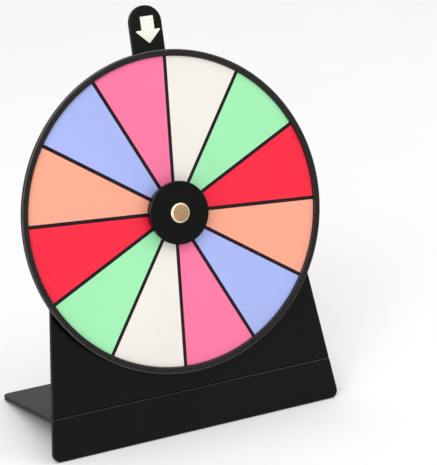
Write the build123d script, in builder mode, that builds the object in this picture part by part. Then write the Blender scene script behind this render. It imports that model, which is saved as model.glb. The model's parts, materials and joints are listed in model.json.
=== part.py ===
from build123d import *
from math import atan2, cos, degrees, radians, sin, tan
import os

# Tabletop prize spinner: a round wheel with twelve coloured sectors turns on a ball bearing
# in front of a bent-sheet stand, whose pointer tab stands above the wheel.
#
# The frame has +X to the player's right, -Y towards the player and +Z up. Its origin is on the
# table, in the middle of the whole object's box. The stand leans back, so most of the pieces
# are drawn on planes parallel to its front face. On these planes x runs to the right, y is the
# height along the face from the lip's lower edge, and the normal points at the player.
# "forward" is a distance in front of the face, and "backward" is a distance behind it.

# ---- Driving dimensions, in millimetres and degrees ----

# Stand
sheet = 3.0                     # thickness of both bent sheets
stand_width = 198.5             # at the lip's lower edge
side_taper = 7.5                # each side leans in by this angle
lip_height = 23.6               # from the lip's lower edge to the foot's underside
lip_corner = 4.5
foot_depth = 107.0              # from the front face to the foot's rear edge
foot_taper = 2.4                # each side of the foot leans in by this angle
foot_corner = 6.0
fold_outside = 1.0              # both sheets are folded sharply, with these radii
fold_inside = 0.5
flange_depth = 20.0             # from the front face to the flange's rear edge
flange_full_depth = 5.0         # the flange keeps its full width this far back
flange_mitre = 35.0             # each end of the flange is cut back at this angle
flange_corner = 4.0
panel_height = 266.1            # top of the pointer tab, along the face
tab_width = 21.2
shoulder_height = 160.0         # where the tapered sides end and the shoulders begin
tab_root_height = 220.0         # where the shoulders meet the tab
shoulder_radius = 14.0
tab_root_radius = 9.0

# Screws that hold the panel's flange on the foot
base_screw_spacing = 120.0
base_screw_backward = 15.0
base_screw_diameter = 4.0
base_screw_head = 8.0
base_screw_length = 10.0
base_nut_width = 7.0            # across the flats
base_nut_thickness = 3.2

# Pointer arrow
arrow_tip_height = 242.7
arrow_length = 16.7
arrow_head_length = 8.3
arrow_head_width = 17.4
arrow_shaft_width = 8.6
arrow_offset = 0.9              # the arrow is stuck on a little to the right of the middle
arrow_corner = 0.5
decal_thickness = 0.2

# Wheel
axle_height = 138.3
wheel_diameter = 200.0
wheel_turn = 4.1                # the wheel rests this far clockwise of a divider at the arrow
disc_gap = 4.2                  # between the stand's face and the disc's back
disc_thickness = 1.4            # of the plate inside the rim
rim_inner_diameter = 192.2
rim_height = 2.0                # the rim stands this far in front of the plate
rim_round = 0.6                 # on the rim's outer edges
rim_inner_round = 0.4
film_thickness = 0.2
film_outer_radius = 95.8
film_inner_radius = 18.4
film_gap = 2.3                  # black line left between two sectors
film_colours = ("cream", "green", "red", "peach", "blue", "pink")
sector_count = 12

# Hub and brass cap
hub_diameter = 39.2
hub_thickness = 3.0
hub_edge = 0.4
boss_diameter = 25.0
boss_height = 4.3               # holds the hub's disc this far in front of the wheel
spigot_diameter = 20.8
spigot_back = 3.5               # in front of the stand's face
cap_diameter = 12.3
cap_thickness = 1.6
cap_bevel = 0.9
cap_stem_diameter = 8.0
cap_gap = 0.3                   # between the turning hub and the fixed cap

# Axle bolt and what is clamped on it
axle_diameter = 6.0
axle_length = 16.0              # under the head
hex_width = 10.0                # across the flats of the head and of the nut
axle_head_thickness = 4.0
axle_nut_thickness = 3.2
washer_diameter = 12.0
washer_thickness = 1.6
spacer_diameter = 8.2
spacer_thickness = 0.5

# Ball bearing, 6 mm bore
bearing_outer_diameter = 15.0
bearing_width = 5.0
inner_land_diameter = 8.2
outer_land_diameter = 12.6
ball_count = 7
ball_diameter = 3.0
cage_thickness = 0.8
cage_width = 3.9
cage_pocket_diameter = 3.2
shield_thickness = 0.25
shield_gap = 0.15

slip = 0.05                     # radial room between two turned parts that fit together
screw_room = 0.2                # radial room round a screw in a sheet

# ---- Worked-out sizes and places ----

lean = degrees(atan2(lip_height, foot_depth - sheet))
lean_sin = sin(radians(lean))
lean_cos = cos(radians(lean))
foot_top = lip_height + sheet
object_depth = foot_depth * lean_cos + foot_top * lean_sin
face_origin = Vector(0, -object_depth / 2, sheet * lean_sin)
upward = Vector(0, lean_sin, lean_cos)
forward = Vector(0, -lean_cos, lean_sin)

wheel_radius = wheel_diameter / 2
disc_front = disc_gap + disc_thickness
rim_front = disc_front + rim_height
hub_back = disc_front + boss_height
hub_front = hub_back + hub_thickness
bearing_back = axle_nut_thickness + spacer_thickness
bearing_front = bearing_back + bearing_width
bearing_middle = bearing_back + bearing_width / 2
pitch_radius = (inner_land_diameter + outer_land_diameter) / 4
cap_back = hub_front + cap_gap
axle_tip = axle_length - sheet - washer_thickness
sector_angle = 360 / sector_count
tab_round = tab_width / 2 - 0.01
base_screw_places = [(side * base_screw_spacing / 2, -base_screw_backward) for side in (-1, 1)]

os.makedirs("parts", exist_ok=True)


# ---- Planes ----

def face_plane(height=0.0, distance=0.0):
    """Plane parallel to the stand's face, at a height along it and a distance in front of it."""
    origin = face_origin + upward * height + forward * distance
    return Plane(origin=origin, x_dir=(1, 0, 0), z_dir=forward)


def axle_plane(distance, turn=0.0):
    """Plane square to the axle, turned anticlockwise about it as the player sees it."""
    origin = face_plane(axle_height, distance).origin
    across = Vector(1, 0, 0) * cos(radians(turn)) + upward * sin(radians(turn))
    return Plane(origin=origin, x_dir=across, z_dir=forward)


side_plane = Plane(origin=face_origin, x_dir=-forward, z_dir=(1, 0, 0))
foot_front = face_plane(lip_height).origin
foot_plane = Plane(origin=foot_front, x_dir=(1, 0, 0), z_dir=upward)
foot_underside = Plane(origin=foot_front, x_dir=(1, 0, 0), z_dir=-upward)
axle_centre = face_plane(axle_height).origin
axle_section = Plane(origin=axle_centre, x_dir=(1, 0, 0), z_dir=-upward)
axle_axis = Axis(axle_centre, forward)
face_axis = Axis(face_origin, forward)


def half_width(height):
    """Half the stand's width at a height along its face."""
    return stand_width / 2 - height * tan(radians(side_taper))


def save(piece, name):
    piece.part.label = name
    export_step(piece.part, f"parts/{name}.step")


# ---- Base plate: the foot, bent down in front into the lip ----

lip_top_half = half_width(foot_top)
foot_rear_half = lip_top_half - foot_depth * tan(radians(foot_taper))

with BuildPart() as base_outline:
    with BuildSketch(face_plane()):
        with BuildLine():
            FilletPolyline(
                (-stand_width / 2, 0),
                (stand_width / 2, 0),
                (lip_top_half, foot_top),
                (-lip_top_half, foot_top),
                radius=(lip_corner, lip_corner, 0, 0),
                close=True,
            )
        make_face()
    extrude(amount=-(sheet + fold_inside))
    with BuildSketch(foot_plane):
        with BuildLine():
            FilletPolyline(
                (-lip_top_half, 0),
                (lip_top_half, 0),
                (foot_rear_half, foot_depth),
                (-foot_rear_half, foot_depth),
                radius=(0, 0, foot_corner, foot_corner),
                close=True,
            )
        make_face()
    extrude(amount=sheet)

with BuildPart() as base_plate:
    with BuildSketch(side_plane):
        with BuildLine():
            FilletPolyline(
                (0, 0),
                (0, foot_top),
                (foot_depth, foot_top),
                (foot_depth, lip_height),
                (sheet, lip_height),
                (sheet, 0),
                radius=(0, fold_outside, 0, 0, fold_inside, 0),
                close=True,
            )
        make_face()
    extrude(amount=stand_width / 2, both=True)
    add(base_outline.part, mode=Mode.INTERSECT)
    with Locations(foot_underside):
        with Locations(*base_screw_places):
            CounterSinkHole(
                radius=base_screw_diameter / 2 + screw_room,
                counter_sink_radius=base_screw_head / 2 + slip,
                depth=sheet,
            )
save(base_plate, "base_plate")


# ---- Back panel: the upright sheet with the pointer tab, bent back into its flange ----

mitre_cut = (flange_depth - flange_full_depth) * tan(radians(flange_mitre))
flange_rear_half = half_width(foot_top) - mitre_cut

with BuildPart() as back_panel:
    with BuildSketch(side_plane):
        with BuildLine():
            FilletPolyline(
                (0, panel_height),
                (0, foot_top),
                (flange_depth, foot_top),
                (flange_depth, foot_top + sheet),
                (sheet, foot_top + sheet),
                (sheet, panel_height),
                radius=(0, fold_outside, 0, 0, fold_inside, 0),
                close=True,
            )
        make_face()
    extrude(amount=stand_width / 2, both=True)
    with BuildSketch(face_plane()):
        with BuildLine():
            FilletPolyline(
                (-half_width(foot_top), foot_top),
                (half_width(foot_top), foot_top),
                (half_width(shoulder_height), shoulder_height),
                (tab_width / 2, tab_root_height),
                (tab_width / 2, panel_height),
                (-tab_width / 2, panel_height),
                (-tab_width / 2, tab_root_height),
                (-half_width(shoulder_height), shoulder_height),
                radius=(
                    0,
                    0,
                    shoulder_radius,
                    tab_root_radius,
                    tab_round,
                    tab_round,
                    tab_root_radius,
                    shoulder_radius,
                ),
                close=True,
            )
        make_face()
    extrude(amount=-flange_depth, mode=Mode.INTERSECT)
    with BuildSketch(foot_plane):
        with BuildLine():
            FilletPolyline(
                (-stand_width / 2, 0),
                (stand_width / 2, 0),
                (stand_width / 2, flange_full_depth),
                (half_width(foot_top), flange_full_depth),
                (flange_rear_half, flange_depth),
                (-flange_rear_half, flange_depth),
                (-half_width(foot_top), flange_full_depth),
                (-stand_width / 2, flange_full_depth),
                radius=(0, 0, 0, 0, flange_corner, flange_corner, 0, 0),
                close=True,
            )
        make_face()
    extrude(amount=panel_height, mode=Mode.INTERSECT)
    with Locations(face_plane(axle_height)):
        Hole(radius=axle_diameter / 2 + screw_room, depth=sheet)
    with Locations(foot_underside):
        with Locations(*base_screw_places):
            Hole(radius=base_screw_diameter / 2 + screw_room, depth=2 * sheet)
save(back_panel, "back_panel")


# ---- Screws and nuts that hold the flange on the foot ----

with BuildPart() as base_screws:
    with Locations(foot_underside):
        with Locations(*base_screw_places):
            Cone(
                bottom_radius=base_screw_diameter / 2,
                top_radius=base_screw_head / 2,
                height=(base_screw_head - base_screw_diameter) / 2,
                align=(Align.CENTER, Align.CENTER, Align.MAX),
            )
            Cylinder(
                radius=base_screw_diameter / 2,
                height=base_screw_length,
                align=(Align.CENTER, Align.CENTER, Align.MAX),
            )
save(base_screws, "base_screws")

with BuildPart() as base_nuts:
    with BuildSketch(foot_underside.offset(-2 * sheet)):
        with Locations(*base_screw_places):
            RegularPolygon(radius=base_nut_width / 2, side_count=6, major_radius=False)
            Circle(base_screw_diameter / 2 + slip, mode=Mode.SUBTRACT)
    extrude(amount=-base_nut_thickness)
save(base_nuts, "base_nuts")


# ---- Pointer arrow, a thin vinyl decal on the tab ----

with BuildPart() as arrow_decal:
    with BuildSketch(face_plane(arrow_tip_height)):
        with BuildLine():
            FilletPolyline(
                (arrow_offset, 0),
                (arrow_offset + arrow_head_width / 2, arrow_head_length),
                (arrow_offset + arrow_shaft_width / 2, arrow_head_length),
                (arrow_offset + arrow_shaft_width / 2, arrow_length),
                (arrow_offset - arrow_shaft_width / 2, arrow_length),
                (arrow_offset - arrow_shaft_width / 2, arrow_head_length),
                (arrow_offset - arrow_head_width / 2, arrow_head_length),
                radius=(arrow_corner, arrow_corner, 0, arrow_corner, arrow_corner, 0, arrow_corner),
                close=True,
            )
        make_face()
    extrude(amount=decal_thickness)
save(arrow_decal, "arrow_decal")


# ---- Axle: a hexagon-head bolt clamped through the panel ----

with BuildPart() as axle_bolt:
    with BuildSketch(axle_plane(-sheet - washer_thickness)):
        RegularPolygon(radius=hex_width / 2, side_count=6, major_radius=False)
    extrude(amount=-axle_head_thickness)
    with BuildSketch(axle_plane(-sheet - washer_thickness)):
        Circle(axle_diameter / 2)
    extrude(amount=axle_length)
    chamfer(axle_bolt.edges().filter_by(GeomType.CIRCLE).sort_by(axle_axis)[-1], axle_diameter / 12)
save(axle_bolt, "axle_bolt")

with BuildPart() as axle_washer:
    with BuildSketch(axle_plane(-sheet)):
        Circle(washer_diameter / 2)
        Circle(axle_diameter / 2 + screw_room, mode=Mode.SUBTRACT)
    extrude(amount=-washer_thickness)
save(axle_washer, "axle_washer")

with BuildPart() as axle_nut:
    with BuildSketch(axle_plane(0)):
        RegularPolygon(radius=hex_width / 2, side_count=6, major_radius=False)
        Circle(axle_diameter / 2 + slip, mode=Mode.SUBTRACT)
    extrude(amount=axle_nut_thickness)
save(axle_nut, "axle_nut")

with BuildPart() as bearing_spacer:
    with BuildSketch(axle_plane(axle_nut_thickness)):
        Circle(spacer_diameter / 2)
        Circle(axle_diameter / 2 + slip, mode=Mode.SUBTRACT)
    extrude(amount=spacer_thickness)
save(bearing_spacer, "bearing_spacer")


# ---- Ball bearing: the inner ring stays on the axle, the outer ring turns with the hub ----

ball_middle = (pitch_radius, bearing_middle)
groove_radius = ball_diameter / 2 + slip

with BuildPart() as bearing_inner_ring:
    with BuildSketch(axle_section):
        with Locations((axle_diameter / 2 + slip, bearing_back)):
            Rectangle(
                (inner_land_diameter - axle_diameter) / 2 - slip,
                bearing_width,
                align=(Align.MIN, Align.MIN),
            )
        with Locations(ball_middle):
            Circle(groove_radius, mode=Mode.SUBTRACT)
    revolve(axis=axle_axis)
save(bearing_inner_ring, "bearing_inner_ring")

with BuildPart() as bearing_outer_ring:
    with BuildSketch(axle_section):
        with Locations((outer_land_diameter / 2, bearing_back)):
            Rectangle(
                (bearing_outer_diameter - outer_land_diameter) / 2,
                bearing_width,
                align=(Align.MIN, Align.MIN),
            )
        with Locations(ball_middle):
            Circle(groove_radius, mode=Mode.SUBTRACT)
    revolve(axis=axle_axis)
save(bearing_outer_ring, "bearing_outer_ring")

with BuildPart() as bearing_balls:
    with Locations(axle_plane(bearing_middle)):
        with PolarLocations(pitch_radius, ball_count):
            Sphere(ball_diameter / 2)
save(bearing_balls, "bearing_balls")

with BuildPart() as bearing_cage:
    with BuildSketch(axle_plane(bearing_middle - cage_width / 2)):
        Circle(pitch_radius + cage_thickness / 2)
        Circle(pitch_radius - cage_thickness / 2, mode=Mode.SUBTRACT)
    extrude(amount=cage_width)
    with Locations(axle_plane(bearing_middle)):
        with PolarLocations(pitch_radius, ball_count):
            Cylinder(
                radius=cage_pocket_diameter / 2,
                height=4 * cage_thickness,
                rotation=(0, 90, 0),
                mode=Mode.SUBTRACT,
            )
save(bearing_cage, "bearing_cage")

with BuildPart() as bearing_shields:
    for shield_back in (bearing_back + slip, bearing_front - slip - shield_thickness):
        with BuildSketch(axle_plane(shield_back)):
            Circle(outer_land_diameter / 2)
            Circle(inner_land_diameter / 2 + shield_gap, mode=Mode.SUBTRACT)
        extrude(amount=shield_thickness)
save(bearing_shields, "bearing_shields")


# ---- Hub: the raised black disc, with a spigot through the wheel and a pocket for the bearing ----

pocket_radius = bearing_outer_diameter / 2 + slip
hub_bore_radius = cap_stem_diameter / 2 + 2 * cap_gap

with BuildPart() as hub:
    with BuildSketch(axle_section):
        with BuildLine():
            FilletPolyline(
                (pocket_radius, spigot_back),
                (spigot_diameter / 2, spigot_back),
                (spigot_diameter / 2, disc_front),
                (boss_diameter / 2, disc_front),
                (boss_diameter / 2, hub_back),
                (hub_diameter / 2, hub_back),
                (hub_diameter / 2, hub_front),
                (hub_bore_radius, hub_front),
                (hub_bore_radius, bearing_front + slip),
                (pocket_radius, bearing_front + slip),
                radius=(0, 0, 0, 0, 0, hub_edge, hub_edge, 0, 0, 0),
                close=True,
            )
        make_face()
    revolve(axis=axle_axis)
save(hub, "hub")


# ---- Brass cap nut on the end of the axle ----

with BuildPart() as axle_cap:
    with BuildSketch(axle_plane(bearing_front)):
        Circle(cap_stem_diameter / 2)
    extrude(amount=cap_back - bearing_front)
    with BuildSketch(axle_plane(cap_back)):
        Circle(cap_diameter / 2)
    extrude(amount=cap_thickness)
    chamfer(axle_cap.edges().filter_by(GeomType.CIRCLE).sort_by(axle_axis)[-1], cap_bevel)
    with BuildSketch(axle_plane(bearing_front)):
        Circle(axle_diameter / 2 + slip)
    extrude(amount=axle_tip + slip - bearing_front, mode=Mode.SUBTRACT)
save(axle_cap, "axle_cap")


# ---- Wheel disc and its sector films ----

with BuildPart() as wheel_disc:
    with BuildSketch(axle_section):
        with BuildLine():
            FilletPolyline(
                (spigot_diameter / 2 + slip, disc_gap),
                (wheel_radius, disc_gap),
                (wheel_radius, rim_front),
                (rim_inner_diameter / 2, rim_front),
                (rim_inner_diameter / 2, disc_front),
                (spigot_diameter / 2 + slip, disc_front),
                radius=(0, rim_round, rim_round, rim_inner_round, 0, 0),
                close=True,
            )
        make_face()
    revolve(axis=axle_axis)
save(wheel_disc, "wheel_disc")

for index in range(sector_count):
    colour = film_colours[index % len(film_colours)]
    middle_turn = 90 - wheel_turn - (index + 0.5) * sector_angle
    wedge_tip = film_gap / 2 / sin(radians(sector_angle / 2))
    wedge_half_width = wheel_diameter * tan(radians(sector_angle / 2))
    with BuildPart() as sector_film:
        with BuildSketch(axle_plane(disc_front, middle_turn)):
            Circle(film_outer_radius)
            Circle(film_inner_radius, mode=Mode.SUBTRACT)
            Polygon(
                (wedge_tip, 0),
                (wedge_tip + wheel_diameter, -wedge_half_width),
                (wedge_tip + wheel_diameter, wedge_half_width),
                align=None,
                mode=Mode.INTERSECT,
            )
        extrude(amount=film_thickness)
    save(sector_film, f"sector_{index + 1:02d}_{colour}")
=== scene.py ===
import json
from math import cos, pi, radians, sin

import bmesh
import bpy
from mathutils import Matrix, Vector


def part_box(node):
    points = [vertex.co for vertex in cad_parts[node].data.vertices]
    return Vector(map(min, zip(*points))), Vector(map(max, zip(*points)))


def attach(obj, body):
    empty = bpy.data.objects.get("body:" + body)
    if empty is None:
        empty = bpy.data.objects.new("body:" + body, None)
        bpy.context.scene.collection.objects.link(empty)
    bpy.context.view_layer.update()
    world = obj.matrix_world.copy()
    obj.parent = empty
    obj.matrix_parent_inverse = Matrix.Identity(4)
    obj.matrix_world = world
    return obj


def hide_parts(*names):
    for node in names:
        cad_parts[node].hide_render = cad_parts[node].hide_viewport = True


# A tabletop prize spinner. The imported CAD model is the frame. This script gives it its camera,
# light and materials, and rebuilds with rounded edges the pieces whose edges catch the light.

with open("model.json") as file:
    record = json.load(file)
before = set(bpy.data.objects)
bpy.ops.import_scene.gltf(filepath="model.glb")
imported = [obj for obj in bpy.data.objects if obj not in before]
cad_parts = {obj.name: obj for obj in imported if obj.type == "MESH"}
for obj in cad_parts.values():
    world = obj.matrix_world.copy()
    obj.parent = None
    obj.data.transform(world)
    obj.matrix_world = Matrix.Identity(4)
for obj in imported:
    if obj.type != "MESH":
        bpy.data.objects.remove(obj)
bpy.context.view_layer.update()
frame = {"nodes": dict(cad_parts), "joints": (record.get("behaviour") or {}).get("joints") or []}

# ---- Sizes and places, in metres ----

MM = 0.001

wheel_joint = next(j for j in frame["joints"] if j["name"] == "wheel_spin")
axle_place = Vector(wheel_joint["pos_m"])
forward = Vector(wheel_joint["axis"]).normalized()
across = Vector((1, 0, 0))
upward = forward.cross(across)
axle_frame = Matrix.Translation(axle_place) @ Matrix((across, upward, forward)).transposed().to_4x4()

CIRCLE_STEPS = 192                  # round a lathe piece
ROUND_STEPS = 5                     # round one corner of a lathe profile
SMOOTH_ANGLE = radians(25)          # lathe faces that meet at less than this are shaded smooth
SAME_POINT = 1e-6                   # points nearer than this are one
FLAT_ANGLE = radians(0.4)           # sheet faces that meet at less than this are one flat face
CUT_EDGE_ANGLE = radians(50)        # sheet edges sharper than this are rounded
EDGE_ROUND = 0.3 * MM
EDGE_STEPS = 3
SIDEWAYS = cos(radians(45))         # sheet faces that look at least this much sideways are cut edges
NOISE_LOW, NOISE_HIGH = 0.3, 0.7    # the range that most of a noise texture's values fill


def along_axle(node):
    """Where a node begins and ends along the axle, in front of the axle's own point."""
    reach = [(v.co - axle_place).dot(forward) for v in frame["nodes"][node].data.vertices]
    return min(reach), max(reach)


def radius_of(node):
    low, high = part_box(node)
    return (high[0] - low[0]) / 2


# ---- Camera ----

camera_lens = 153.7
camera_place = Vector((-0.4793, -1.0848, 0.5237))
camera_target = Vector((0.0217, -0.0455, 0.1241))
camera_roll = radians(-2.02)

camera_data = bpy.data.cameras.new("camera")
camera_data.lens = camera_lens
camera = bpy.data.objects.new("camera", camera_data)
bpy.context.collection.objects.link(camera)
camera.rotation_mode = "QUATERNION"
camera.location = camera_place
aim = (camera_target - camera_place).to_track_quat("-Z", "Y")
camera.rotation_quaternion = aim @ Matrix.Rotation(camera_roll, 3, "Z").to_quaternion()
bpy.context.scene.camera = camera
bpy.context.scene.view_settings.view_transform = "Standard"

# ---- Materials ----


def material(name, metallic=0.0, coat=0.0, specular=0.5):
    made = bpy.data.materials.new(name)
    made.use_nodes = True
    shader = made.node_tree.nodes["Principled BSDF"]
    shader.inputs["Metallic"].default_value = metallic
    shader.inputs["Coat Weight"].default_value = coat
    shader.inputs["Specular IOR Level"].default_value = specular
    return made


def add(made, kind, **values):
    node = made.node_tree.nodes.new(kind)
    for key, value in values.items():
        setattr(node, key, value)
    return node


def join(made, source, target):
    made.node_tree.links.new(source, target)


def place(made, stretch=(1, 1, 1), on_axle=False):
    """Coordinates fixed to the piece in metres, about the axle if on_axle is true."""
    coordinates = add(made, "ShaderNodeTexCoord").outputs["Object"]
    if on_axle:
        turned = add(made, "ShaderNodeMapping", vector_type="TEXTURE")
        turned.inputs["Location"].default_value = axle_place
        turned.inputs["Rotation"].default_value = axle_frame.to_euler()
        join(made, coordinates, turned.inputs["Vector"])
        coordinates = turned.outputs["Vector"]
    mapping = add(made, "ShaderNodeMapping")
    mapping.inputs["Scale"].default_value = stretch
    join(made, coordinates, mapping.inputs["Vector"])
    return mapping.outputs["Vector"]


def noise(made, coordinates, scale, detail=4.0, roughness=0.5):
    texture = add(made, "ShaderNodeTexNoise")
    texture.inputs["Scale"].default_value = scale
    texture.inputs["Detail"].default_value = detail
    texture.inputs["Roughness"].default_value = roughness
    join(made, coordinates, texture.inputs["Vector"])
    return texture.outputs["Fac"]


def spread(made, value, low=0.0, high=1.0):
    """A value that runs from low to high over most of a noise texture's range."""
    mapped = add(made, "ShaderNodeMapRange")
    mapped.inputs["From Min"].default_value = NOISE_LOW
    mapped.inputs["From Max"].default_value = NOISE_HIGH
    mapped.inputs["To Min"].default_value = low
    mapped.inputs["To Max"].default_value = high
    join(made, value, mapped.inputs["Value"])
    return mapped.outputs["Result"]


def blend_colours(made, factor, first, second):
    mix = add(made, "ShaderNodeMix", data_type="RGBA")
    mix.inputs["A"].default_value = (*first, 1)
    mix.inputs["B"].default_value = (*second, 1)
    join(made, factor, mix.inputs["Factor"])
    return mix.outputs["Result"]


def bump(made, height, distance, after=None):
    """A normal that follows a height, on top of the normal from an earlier bump."""
    node = add(made, "ShaderNodeBump")
    node.inputs["Strength"].default_value = 1.0
    node.inputs["Distance"].default_value = distance
    join(made, height, node.inputs["Height"])
    if after is not None:
        join(made, after, node.inputs["Normal"])
    return node.outputs["Normal"]


def finish_with(made, colour=None, roughness=None, normal=None):
    inputs = made.node_tree.nodes["Principled BSDF"].inputs
    for source, socket in ((colour, "Base Color"), (roughness, "Roughness"), (normal, "Normal")):
        if source is not None:
            join(made, source, inputs[socket])
    return made


def black_sheet(name):
    """Glossy black acrylic: soft waviness, wipe marks and a fine grain."""
    made = material(name, specular=0.5)
    where = place(made)
    cloud = spread(made, noise(made, where, scale=14, detail=3))
    colour = blend_colours(made, cloud, (0.0018, 0.0019, 0.0011), (0.0034, 0.0035, 0.0025))
    wipe = noise(made, place(made, stretch=(1, 0.15, 1)), scale=60, detail=5, roughness=0.6)
    roughness = spread(made, wipe, low=0.12, high=0.2)
    waves = bump(made, noise(made, where, scale=70, detail=2), 0.04 * MM)
    grain = bump(made, noise(made, where, scale=1800, detail=2), 0.006 * MM, after=waves)
    return finish_with(made, colour, roughness, grain)


def cut_edge(name):
    """Sawn edge of the black sheet, greyer and rougher than its faces."""
    made = material(name)
    where = place(made)
    cloud = spread(made, noise(made, where, scale=120))
    colour = blend_colours(made, cloud, (0.012, 0.012, 0.012), (0.024, 0.023, 0.022))
    roughness = spread(made, noise(made, where, scale=400, detail=3), low=0.34, high=0.5)
    saw = noise(made, place(made, stretch=(1, 1, 0.2)), scale=1500, detail=2)
    marks = bump(made, saw, 0.02 * MM)
    return finish_with(made, colour, roughness, marks)


def film(name, colour):
    """Write-on vinyl: even print under a clear coat that carries faint wiping marks."""
    made = material(name, coat=0.25)
    made.node_tree.nodes["Principled BSDF"].inputs["Coat Roughness"].default_value = 0.12
    where = place(made, on_axle=True)
    deeper = tuple(channel * 0.92 for channel in colour)
    tone = spread(made, noise(made, where, scale=11, detail=3))
    mixed = blend_colours(made, tone, deeper, colour)
    wipe_place = place(made, stretch=(1, 0.12, 1), on_axle=True)
    wipe = noise(made, wipe_place, scale=90, detail=5, roughness=0.65)
    roughness = spread(made, wipe, low=0.27, high=0.38)
    skin = bump(made, noise(made, where, scale=900, detail=3), 0.01 * MM)
    return finish_with(made, mixed, roughness, skin)


def moulded(name, dark, light, roughness_range, grain_scale, grain_depth):
    """Moulded plastic with a fine even texture."""
    made = material(name, specular=0.4)
    where = place(made)
    cloud = spread(made, noise(made, where, scale=60, detail=3))
    colour = blend_colours(made, cloud, dark, light)
    roughness = spread(made, noise(made, where, scale=260), *roughness_range)
    grain = bump(made, noise(made, where, grain_scale, detail=3), grain_depth)
    return finish_with(made, colour, roughness, grain)


def turned_metal(name, dark, light, roughness_range, ring_pitch, ring_depth, metallic=1.0):
    """Metal turned on a lathe: fine rings about the axle."""
    made = material(name, metallic=metallic)
    where = place(made, on_axle=True)
    split = add(made, "ShaderNodeSeparateXYZ")
    join(made, where, split.inputs["Vector"])
    flat = add(made, "ShaderNodeCombineXYZ")
    join(made, split.outputs["X"], flat.inputs["X"])
    join(made, split.outputs["Y"], flat.inputs["Y"])
    length = add(made, "ShaderNodeVectorMath", operation="LENGTH")
    join(made, flat.outputs["Vector"], length.inputs[0])
    ring = add(made, "ShaderNodeTexNoise", noise_dimensions="1D")
    ring.inputs["Scale"].default_value = 1 / ring_pitch
    ring.inputs["Detail"].default_value = 3
    join(made, length.outputs["Value"], ring.inputs["W"])
    tarnish = spread(made, noise(made, where, scale=450))
    colour = blend_colours(made, tarnish, dark, light)
    roughness = spread(made, ring.outputs["Fac"], *roughness_range)
    rings = bump(made, ring.outputs["Fac"], ring_depth)
    return finish_with(made, colour, roughness, rings)


def plated_steel(name, dark, light, roughness_range):
    """Plated or ground steel with small stains and a fine grain."""
    made = material(name, metallic=1.0)
    where = place(made)
    stains = spread(made, noise(made, where, scale=500, detail=5))
    colour = blend_colours(made, stains, dark, light)
    roughness = spread(made, noise(made, where, scale=900), *roughness_range)
    grain = bump(made, noise(made, where, scale=4000, detail=2), 0.004 * MM)
    return finish_with(made, colour, roughness, grain)


sheet_black = black_sheet("sheet_black")
sheet_edge = cut_edge("sheet_edge")
plate_black = moulded(
    "plate_black", (0.012, 0.005, 0.010), (0.018, 0.009, 0.015), (0.25, 0.35), 2600, 0.01 * MM
)
rim_black = moulded(
    "rim_black", (0.0155, 0.0135, 0.013), (0.0185, 0.0165, 0.016), (0.26, 0.3), 2600, 0.01 * MM
)
# Painted highlight: the rim's rounded front edge is a lighter grey than the rim, standing in for the thin
# highlight line it catches all round.
rim_edge_painted_highlight = moulded(
    "rim_edge_painted_highlight", (0.065, 0.059, 0.058), (0.080, 0.073, 0.071), (0.24, 0.28), 2600, 0.008 * MM
)
hub_black = moulded(
    "hub_black", (0.0012, 0.0011, 0.0010), (0.0022, 0.0020, 0.0018), (0.2, 0.3), 3500, 0.012 * MM
)
arrow_white = moulded(
    "arrow_white", (0.86, 0.85, 0.76), (0.91, 0.90, 0.81), (0.35, 0.5), 1800, 0.01 * MM
)
cage_nylon = moulded(
    "cage_nylon", (0.66, 0.62, 0.50), (0.74, 0.70, 0.58), (0.4, 0.55), 2500, 0.01 * MM
)
brass = turned_metal(
    "brass", (0.80, 0.50, 0.25), (0.88, 0.60, 0.33), (0.48, 0.62), 0.12 * MM, 0.006 * MM
)
# Painted highlight: the cap's bevel and side get a pale, half-metallic brass colour that stands in for the
# bright reflection of the studio.
brass_bevel_painted_highlight = turned_metal(
    "brass_bevel_painted_highlight", (0.90, 0.80, 0.60), (0.96, 0.89, 0.72), (0.3, 0.42), 0.3 * MM, 0.002 * MM, metallic=0.25
)
zinc_steel = plated_steel("zinc_steel", (0.48, 0.49, 0.51), (0.62, 0.62, 0.62), (0.28, 0.42))
bearing_steel = plated_steel("bearing_steel", (0.58, 0.58, 0.6), (0.68, 0.68, 0.69), (0.12, 0.22))

film_colours = {
    "cream": (0.88, 0.84, 0.77),
    "green": (0.36, 0.88, 0.46),
    "red": (0.98, 0.015, 0.05),
    "peach": (0.98, 0.40, 0.27),
    "blue": (0.40, 0.48, 0.90),
    "pink": (0.98, 0.19, 0.37),
}
films = {name: film(f"film_{name}", colour) for name, colour in film_colours.items()}

node_materials = {
    "arrow_decal": arrow_white,
    "hub": hub_black,
    "bearing_cage": cage_nylon,
    "bearing_inner_ring": bearing_steel,
    "bearing_outer_ring": bearing_steel,
    "bearing_balls": bearing_steel,
    "bearing_shields": bearing_steel,
    "base_screws": zinc_steel,
    "base_nuts": zinc_steel,
    "axle_bolt": zinc_steel,
    "axle_washer": zinc_steel,
    "axle_nut": zinc_steel,
    "bearing_spacer": zinc_steel,
}
for name, node in frame["nodes"].items():
    if name.startswith("sector_"):
        node_materials[name] = films[name.split("_")[-1]]
    if name in node_materials:
        node.data.materials.clear()
        node.data.materials.append(node_materials[name])

# ---- Pieces rebuilt with rounded edges ----


def show(name, mesh, node, body):
    """Show a mesh in place of a CAD node, riding on its body."""
    piece = bpy.data.objects.new(name, mesh)
    bpy.context.collection.objects.link(piece)
    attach(piece, body)
    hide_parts(node)
    return piece


def rounded_corners(points, radii):
    """A closed profile with each corner rounded by its radius."""
    profile = []
    for index, radius in enumerate(radii):
        corner = Vector(points[index])
        before = (Vector(points[index - 1]) - corner).normalized()
        after = (Vector(points[(index + 1) % len(points)]) - corner).normalized()
        if radius == 0:
            profile.append(corner)
            continue
        half = before.angle(after) / 2
        centre = corner + (before + after).normalized() * radius / sin(half)
        start = corner + before * radius * cos(half) / sin(half) - centre
        end = corner + after * radius * cos(half) / sin(half) - centre
        for step in range(ROUND_STEPS + 1):
            profile.append(centre + start.slerp(end, step / ROUND_STEPS).normalized() * radius)
    return profile


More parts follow.
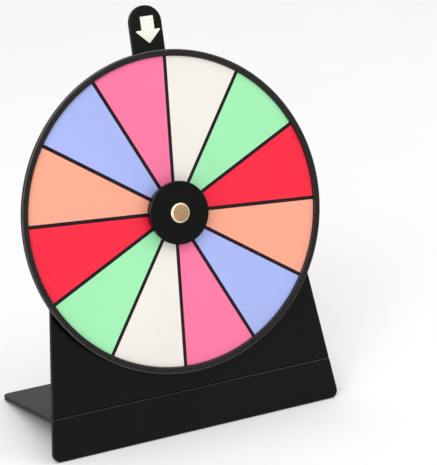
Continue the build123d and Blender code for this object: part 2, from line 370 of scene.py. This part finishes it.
def lathe(profile, materials, material_of):
    """A solid of revolution about the axle.

    Profile points are (radius, distance forward). material_of gives the material's number for
    the middle of a stretch of the profile.
    """
    mesh = bpy.data.meshes.new("lathe")
    shape = bmesh.new()
    rings = []
    for radius, forward_by in profile:
        if radius < SAME_POINT:
            rings.append([shape.verts.new((0, 0, forward_by))])
            continue
        ring = []
        for step in range(CIRCLE_STEPS):
            turn = 2 * pi * step / CIRCLE_STEPS
            ring.append(shape.verts.new((radius * cos(turn), radius * sin(turn), forward_by)))
        rings.append(ring)
    count = len(rings)
    for index in range(count):
        here, there = rings[index], rings[(index + 1) % count]
        if len(here) == 1 and len(there) == 1:
            continue
        for step in range(CIRCLE_STEPS):
            ahead = (step + 1) % CIRCLE_STEPS
            corners = []
            for ring, order in ((here, (step, ahead)), (there, (ahead, step))):
                if len(ring) == 1:
                    corners.append(ring[0])
                else:
                    corners.extend(ring[i] for i in order)
            face = shape.faces.new(corners)
            face.smooth = True
            middle = (Vector(profile[index]) + Vector(profile[(index + 1) % count])) / 2
            face.material_index = material_of(middle)
    bmesh.ops.recalc_face_normals(shape, faces=shape.faces)
    shape.transform(axle_frame)
    shape.to_mesh(mesh)
    shape.free()
    for used in materials:
        mesh.materials.append(used)
    mesh.set_sharp_from_angle(angle=SMOOTH_ANGLE)
    return mesh


# Wheel disc: a thin plate inside a raised rim with rounded edges
disc_back, rim_front = along_axle("wheel_disc")
plate_front = along_axle("sector_01_cream")[0]
disc_radius = radius_of("wheel_disc")
disc_bore = 10.45 * MM
rim_inner_radius = 96.1 * MM
rim_round = 0.6 * MM
rim_inner_round = 0.4 * MM
rim_foot_round = 0.1 * MM
clear_of_corner = 0.05 * MM
disc_profile = rounded_corners(
    [
        (disc_bore, disc_back),
        (disc_radius, disc_back),
        (disc_radius, rim_front),
        (rim_inner_radius, rim_front),
        (rim_inner_radius, plate_front),
        (disc_bore, plate_front),
    ],
    [0, rim_round, rim_round, rim_inner_round, rim_foot_round, 0],
)


def disc_material(middle):
    """0 on the back, 1 on the plate's front, 2 on the rim and 3 on its rounded front edge, which carries a
    painted highlight.
    """
    radius, forward_by = middle
    if forward_by < disc_back + SAME_POINT:
        return 0
    if radius < rim_inner_radius - clear_of_corner:
        return 1
    if radius > disc_radius - rim_round and forward_by > rim_front - rim_round:
        return 3
    return 2


disc_mesh = lathe(disc_profile, (sheet_black, plate_black, rim_black, rim_edge_painted_highlight), disc_material)
show("wheel_disc_round", disc_mesh, "wheel_disc", "wheel")

# Brass cap: a brushed flat face inside a polished bevel, whose pale colour is a painted highlight
cap_back, cap_front = along_axle("axle_cap")
cap_radius = radius_of("axle_cap")
cap_bevel = 0.9 * MM
cap_head = 1.6 * MM
cap_round = 0.15 * MM
cap_face_radius = cap_radius - cap_bevel
stem_radius = 4.0 * MM
cap_profile = rounded_corners(
    [
        (0, cap_back),
        (stem_radius, cap_back),
        (stem_radius, cap_front - cap_head),
        (cap_radius, cap_front - cap_head),
        (cap_radius, cap_front - cap_bevel),
        (cap_face_radius, cap_front),
        (0, cap_front),
    ],
    [0, 0, 0, cap_round, cap_round, cap_round, 0],
)


def cap_material(middle):
    """0 on the face and the stem, 1 on the bevel and the side, which carry a painted highlight."""
    return int(middle[0] > cap_face_radius - clear_of_corner)


cap_mesh = lathe(cap_profile, (brass, brass_bevel_painted_highlight), cap_material)
show("axle_cap_round", cap_mesh, "axle_cap", "stand")


def plain_copy(node):
    """A copy of a node's mesh in which each flat side is one face."""
    shape = bmesh.new()
    shape.from_mesh(frame["nodes"][node].data)
    bmesh.ops.remove_doubles(shape, verts=shape.verts, dist=SAME_POINT)
    bmesh.ops.dissolve_limit(shape, angle_limit=FLAT_ANGLE, verts=shape.verts, edges=shape.edges)
    mesh = bpy.data.meshes.new(node)
    shape.to_mesh(mesh)
    shape.free()
    return mesh


# Folded sheets: glossy faces with softened edges, and duller cut edges at the sides
for node in ("base_plate", "back_panel"):
    mesh = plain_copy(node)
    mesh.materials.append(sheet_black)
    mesh.materials.append(sheet_edge)
    piece = show(f"{node}_round", mesh, node, "stand")
    bevel = piece.modifiers.new("rounded", "BEVEL")
    bevel.width = EDGE_ROUND
    bevel.segments = EDGE_STEPS
    bevel.limit_method = "ANGLE"
    bevel.angle_limit = CUT_EDGE_ANGLE
    flat = piece.modifiers.new("flat_faces", "WEIGHTED_NORMAL")
    flat.mode = "FACE_AREA"
    flat.weight = 100
    for face in mesh.polygons:
        face.use_smooth = True
        face.material_index = int(abs(face.normal.dot(across)) > SIDEWAYS)

# ---- Stage and light ----

floor_paint = material("floor_paint", specular=0.2)
where = place(floor_paint)
tone = noise(floor_paint, where, scale=6, detail=3)
colour = blend_colours(floor_paint, tone, (0.9, 0.9, 0.9), (0.93, 0.93, 0.93))
wear = noise(floor_paint, where, scale=40, detail=3)
finish_with(floor_paint, colour, spread(floor_paint, wear, low=0.7, high=0.85))

floor_half = 8.0
floor_points = [(x * floor_half, y * floor_half, 0) for x, y in ((-1, -1), (1, -1), (1, 1), (-1, 1))]
floor_mesh = bpy.data.meshes.new("floor")
floor_mesh.from_pydata(floor_points, [], [(0, 1, 2, 3)])
floor_mesh.materials.append(floor_paint)
floor = bpy.data.objects.new("floor", floor_mesh)
bpy.context.collection.objects.link(floor)
floor.visible_glossy = False  # the black sheets don't mirror it

# A studio that is dim towards the horizon and bright above
horizon_height, bright_height = 0.13, 0.75
horizon_light, bright_light = 0.24, 1.1

world = bpy.data.worlds.new("studio")
world.use_nodes = True
bpy.context.scene.world = world
sky = world.node_tree.nodes["Background"]
sky.inputs["Color"].default_value = (1, 1, 1, 1)
direction = world.node_tree.nodes.new("ShaderNodeTexCoord")
height = world.node_tree.nodes.new("ShaderNodeSeparateXYZ")
glow = world.node_tree.nodes.new("ShaderNodeMapRange")
glow.interpolation_type = "SMOOTHSTEP"
glow.inputs["From Min"].default_value = horizon_height
glow.inputs["From Max"].default_value = bright_height
glow.inputs["To Min"].default_value = horizon_light
glow.inputs["To Max"].default_value = bright_light
world.node_tree.links.new(direction.outputs["Generated"], height.inputs["Vector"])
world.node_tree.links.new(height.outputs["Z"], glow.inputs["Value"])
world.node_tree.links.new(glow.outputs["Result"], sky.inputs["Strength"])


def lamp(name, place_at, size, watts):
    """A square soft light that points at the wheel's middle."""
    data = bpy.data.lights.new(name, "AREA")
    data.shape = "SQUARE"
    data.size = size
    data.energy = watts
    made = bpy.data.objects.new(name, data)
    bpy.context.collection.objects.link(made)
    made.location = place_at
    made.rotation_mode = "QUATERNION"
    made.rotation_quaternion = (axle_place - made.location).to_track_quat("-Z", "Y")


lamp("key", Vector((-1.5, -1.7, 1.7)), size=1.3, watts=24)
lamp("fill", Vector((1.9, -1.3, 1.5)), size=1.6, watts=8)
lamp("edge", Vector((-1.5, -0.45, 0.12)), size=0.5, watts=4)
